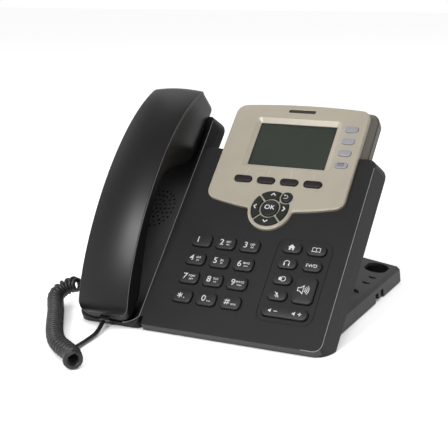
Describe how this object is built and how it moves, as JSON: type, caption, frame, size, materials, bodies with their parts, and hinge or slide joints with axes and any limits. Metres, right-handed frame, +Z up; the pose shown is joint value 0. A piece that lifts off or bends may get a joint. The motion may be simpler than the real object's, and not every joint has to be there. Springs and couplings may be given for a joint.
{
  "type": "desk ip phone",
  "caption": "Desk telephone with sloping key deck, display pod, corded handset on a side cradle and a removable wedge stand.",
  "frame": {"origin": "middle of the footprint on the desk: centre of the bounding box without the cord, at the underside of the feet", "axes": "+X to the user's right, +Y to the rear, +Z up"},
  "size_m": [0.2315, 0.2693, 0.1574],
  "materials": {
    "case_plastic": "fine satin texture",
    "handset_plastic": "smooth satin",
    "key_plastic": "satin",
    "soft_key_plastic": "satin",
    "line_key_plastic": "satin, pale lavender grey",
    "nav_key_plastic": "satin",
    "plate_finish": "champagne paint, satin",
    "frame_plastic": "taupe, satin",
    "back_plastic": "matt",
    "lens": "clear",
    "lcd": "dark green, matt",
    "lamp": "smoked, glossy",
    "mat_rubber": "matt",
    "board": "solder mask",
    "speaker_metal": "plain",
    "socket_plastic": "matt",
    "stand_plastic": "fine texture",
    "rubber_feet": "matt",
    "screw_steel": "plain",
    "cord_jacket": "satin",
    "plug_plastic": "clear, slightly milky"
  },
  "bodies": {
    "base": {"top_case": "case_plastic", "bottom_case": "case_plastic", "display_bezel": "plate_finish", "display_housing": "frame_plastic", "display_back": "back_plastic", "display_lens": "lens", "lcd_module": "lcd", "message_lamp": "lamp", "keypad_mat": "mat_rubber", "main_board": "board", "ringer_speaker": "speaker_metal", "jack_block": "socket_plastic", "front_feet": "rubber_feet", "case_screws": "screw_steel", "curly_cord": "cord_jacket", "handset_lead": "cord_jacket", "base_lead": "cord_jacket", "base_plug": "plug_plastic"},
    "handset": {"handset_back_shell": "handset_plastic", "handset_front_shell": "handset_plastic", "earpiece_capsule": "speaker_metal", "handset_microphone": "speaker_metal", "handset_plug": "plug_plastic"},
    "stand_body": {"stand": "stand_plastic", "stand_feet": "rubber_feet"},
    "hook_body": {"hook_switch": "key_plastic"},
    "key_1_body": {"key_1": "key_plastic"},
    "key_2_body": {"key_2": "key_plastic"},
    "key_3_body": {"key_3": "key_plastic"},
    "key_4_body": {"key_4": "key_plastic"},
    "key_5_body": {"key_5": "key_plastic"},
    "key_6_body": {"key_6": "key_plastic"},
    "key_7_body": {"key_7": "key_plastic"},
    "key_8_body": {"key_8": "key_plastic"},
    "key_9_body": {"key_9": "key_plastic"},
    "key_star_body": {"key_star": "key_plastic"},
    "key_0_body": {"key_0": "key_plastic"},
    "key_hash_body": {"key_hash": "key_plastic"},
    "home_key_body": {"home_key": "key_plastic"},
    "phonebook_key_body": {"phonebook_key": "key_plastic"},
    "headset_key_body": {"headset_key": "key_plastic"},
    "forward_key_body": {"forward_key": "key_plastic"},
    "conference_key_body": {"conference_key": "key_plastic"},
    "mute_key_body": {"mute_key": "key_plastic"},
    "speaker_key_body": {"speaker_key": "key_plastic"},
    "volume_rocker_body": {"volume_rocker": "key_plastic"},
    "soft_key_1_body": {"soft_key_1": "soft_key_plastic"},
    "soft_key_2_body": {"soft_key_2": "soft_key_plastic"},
    "soft_key_3_body": {"soft_key_3": "soft_key_plastic"},
    "soft_key_4_body": {"soft_key_4": "soft_key_plastic"},
    "line_key_1_body": {"line_key_1": "line_key_plastic"},
    "line_key_2_body": {"line_key_2": "line_key_plastic"},
    "line_key_3_body": {"line_key_3": "line_key_plastic"},
    "message_key_body": {"message_key": "line_key_plastic"},
    "nav_up_body": {"nav_up": "nav_key_plastic"},
    "nav_down_body": {"nav_down": "nav_key_plastic"},
    "nav_left_body": {"nav_left": "nav_key_plastic"},
    "nav_right_body": {"nav_right": "nav_key_plastic"},
    "ok_key_body": {"ok_key": "nav_key_plastic"},
    "back_key_body": {"back_key": "nav_key_plastic"}
  },
  "joints": [
    {"name": "handset_lift", "type": "slide", "parent": "base", "child": "handset", "axis": [0, -0.7145, 0.6997], "range_m": [0, 0.09]},
    {"name": "stand_release", "type": "slide", "parent": "base", "child": "stand_body", "axis": [0, 0.6997, 0.7145], "range_m": [-0.008, 0]},
    {"name": "volume_rock", "type": "hinge", "parent": "base", "child": "volume_rocker_body", "pos_m": [0.0617, -0.07124, 0.0198], "axis": [0, 0.6997, 0.7145], "range_deg": [-1.8, 1.8], "stiffness_Nm_per_rad": 0.25},
    {"name": "hook_rise", "type": "slide", "parent": "base", "child": "hook_body", "axis": [0, -0.7145, 0.6997], "range_m": [0, 0.0031]},
    {"name": "key_1_press", "type": "slide", "parent": "base", "child": "key_1_body", "axis": [0, 0.7145, -0.6997], "range_m": [0, 0.0012], "stiffness_N_per_m": 500},
    {"name": "key_2_press", "type": "slide", "parent": "base", "child": "key_2_body", "axis": [0, 0.7145, -0.6997], "range_m": [0, 0.0012], "stiffness_N_per_m": 500},
    {"name": "key_3_press", "type": "slide", "parent": "base", "child": "key_3_body", "axis": [0, 0.7145, -0.6997], "range_m": [0, 0.0012], "stiffness_N_per_m": 500},
    {"name": "key_4_press", "type": "slide", "parent": "base", "child": "key_4_body", "axis": [0, 0.7145, -0.6997], "range_m": [0, 0.0012], "stiffness_N_per_m": 500},
    {"name": "key_5_press", "type": "slide", "parent": "base", "child": "key_5_body", "axis": [0, 0.7145, -0.6997], "range_m": [0, 0.0012], "stiffness_N_per_m": 500},
    {"name": "key_6_press", "type": "slide", "parent": "base", "child": "key_6_body", "axis": [0, 0.7145, -0.6997], "range_m": [0, 0.0012], "stiffness_N_per_m": 500},
    {"name": "key_7_press", "type": "slide", "parent": "base", "child": "key_7_body", "axis": [0, 0.7145, -0.6997], "range_m": [0, 0.0012], "stiffness_N_per_m": 500},
    {"name": "key_8_press", "type": "slide", "parent": "base", "child": "key_8_body", "axis": [0, 0.7145, -0.6997], "range_m": [0, 0.0012], "stiffness_N_per_m": 500},
    {"name": "key_9_press", "type": "slide", "parent": "base", "child": "key_9_body", "axis": [0, 0.7145, -0.6997], "range_m": [0, 0.0012], "stiffness_N_per_m": 500},
    {"name": "key_star_press", "type": "slide", "parent": "base", "child": "key_star_body", "axis": [0, 0.7145, -0.6997], "range_m": [0, 0.0012], "stiffness_N_per_m": 500},
    {"name": "key_0_press", "type": "slide", "parent": "base", "child": "key_0_body", "axis": [0, 0.7145, -0.6997], "range_m": [0, 0.0012], "stiffness_N_per_m": 500},
    {"name": "key_hash_press", "type": "slide", "parent": "base", "child": "key_hash_body", "axis": [0, 0.7145, -0.6997], "range_m": [0, 0.0012], "stiffness_N_per_m": 500},
    {"name": "home_key_press", "type": "slide", "parent": "base", "child": "home_key_body", "axis": [0, 0.7145, -0.6997], "range_m": [0, 0.0012], "stiffness_N_per_m": 500},
    {"name": "phonebook_key_press", "type": "slide", "parent": "base", "child": "phonebook_key_body", "axis": [0, 0.7145, -0.6997], "range_m": [0, 0.0012], "stiffness_N_per_m": 500},
    {"name": "headset_key_press", "type": "slide", "parent": "base", "child": "headset_key_body", "axis": [0, 0.7145, -0.6997], "range_m": [0, 0.0012], "stiffness_N_per_m": 500},
    {"name": "forward_key_press", "type": "slide", "parent": "base", "child": "forward_key_body", "axis": [0, 0.7145, -0.6997], "range_m": [0, 0.0012], "stiffness_N_per_m": 500},
    {"name": "conference_key_press", "type": "slide", "parent": "base", "child": "conference_key_body", "axis": [0, 0.7145, -0.6997], "range_m": [0, 0.0012], "stiffness_N_per_m": 500},
    {"name": "mute_key_press", "type": "slide", "parent": "base", "child": "mute_key_body", "axis": [0, 0.7145, -0.6997], "range_m": [0, 0.0012], "stiffness_N_per_m": 500},
    {"name": "speaker_key_press", "type": "slide", "parent": "base", "child": "speaker_key_body", "axis": [0, 0.7145, -0.6997], "range_m": [0, 0.0012], "stiffness_N_per_m": 500},
    {"name": "soft_key_1_press", "type": "slide", "parent": "base", "child": "soft_key_1_body", "axis": [0, 0.7145, -0.6997], "range_m": [0, 0.0012], "stiffness_N_per_m": 500},
    {"name": "soft_key_2_press", "type": "slide", "parent": "base", "child": "soft_key_2_body", "axis": [0, 0.7145, -0.6997], "range_m": [0, 0.0012], "stiffness_N_per_m": 500},
    {"name": "soft_key_3_press", "type": "slide", "parent": "base", "child": "soft_key_3_body", "axis": [0, 0.7145, -0.6997], "range_m": [0, 0.0012], "stiffness_N_per_m": 500},
    {"name": "soft_key_4_press", "type": "slide", "parent": "base", "child": "soft_key_4_body", "axis": [0, 0.7145, -0.6997], "range_m": [0, 0.0012], "stiffness_N_per_m": 500},
    {"name": "line_key_1_press", "type": "slide", "parent": "base", "child": "line_key_1_body", "axis": [0, 0.7145, -0.6997], "range_m": [0, 0.0012], "stiffness_N_per_m": 500},
    {"name": "line_key_2_press", "type": "slide", "parent": "base", "child": "line_key_2_body", "axis": [0, 0.7145, -0.6997], "range_m": [0, 0.0012], "stiffness_N_per_m": 500},
    {"name": "line_key_3_press", "type": "slide", "parent": "base", "child": "line_key_3_body", "axis": [0, 0.7145, -0.6997], "range_m": [0, 0.0012], "stiffness_N_per_m": 500},
    {"name": "message_key_press", "type": "slide", "parent": "base", "child": "message_key_body", "axis": [0, 0.7145, -0.6997], "range_m": [0, 0.0012], "stiffness_N_per_m": 500},
    {"name": "nav_up_press", "type": "slide", "parent": "base", "child": "nav_up_body", "axis": [0, 0.7145, -0.6997], "range_m": [0, 0.0012], "stiffness_N_per_m": 500},
    {"name": "nav_down_press", "type": "slide", "parent": "base", "child": "nav_down_body", "axis": [0, 0.7145, -0.6997], "range_m": [0, 0.0012], "stiffness_N_per_m": 500},
    {"name": "nav_left_press", "type": "slide", "parent": "base", "child": "nav_left_body", "axis": [0, 0.7145, -0.6997], "range_m": [0, 0.0012], "stiffness_N_per_m": 500},
    {"name": "nav_right_press", "type": "slide", "parent": "base", "child": "nav_right_body", "axis": [0, 0.7145, -0.6997], "range_m": [0, 0.0012], "stiffness_N_per_m": 500},
    {"name": "ok_key_press", "type": "slide", "parent": "base", "child": "ok_key_body", "axis": [0, 0.7145, -0.6997], "range_m": [0, 0.0012], "stiffness_N_per_m": 500},
    {"name": "back_key_press", "type": "slide", "parent": "base", "child": "back_key_body", "axis": [0, 0.7145, -0.6997], "range_m": [0, 0.0012], "stiffness_N_per_m": 500}
  ],
  "couplings": [
    {"joint": "hook_rise", "follows": "handset_lift", "ratio": 0.033333}
  ]
}
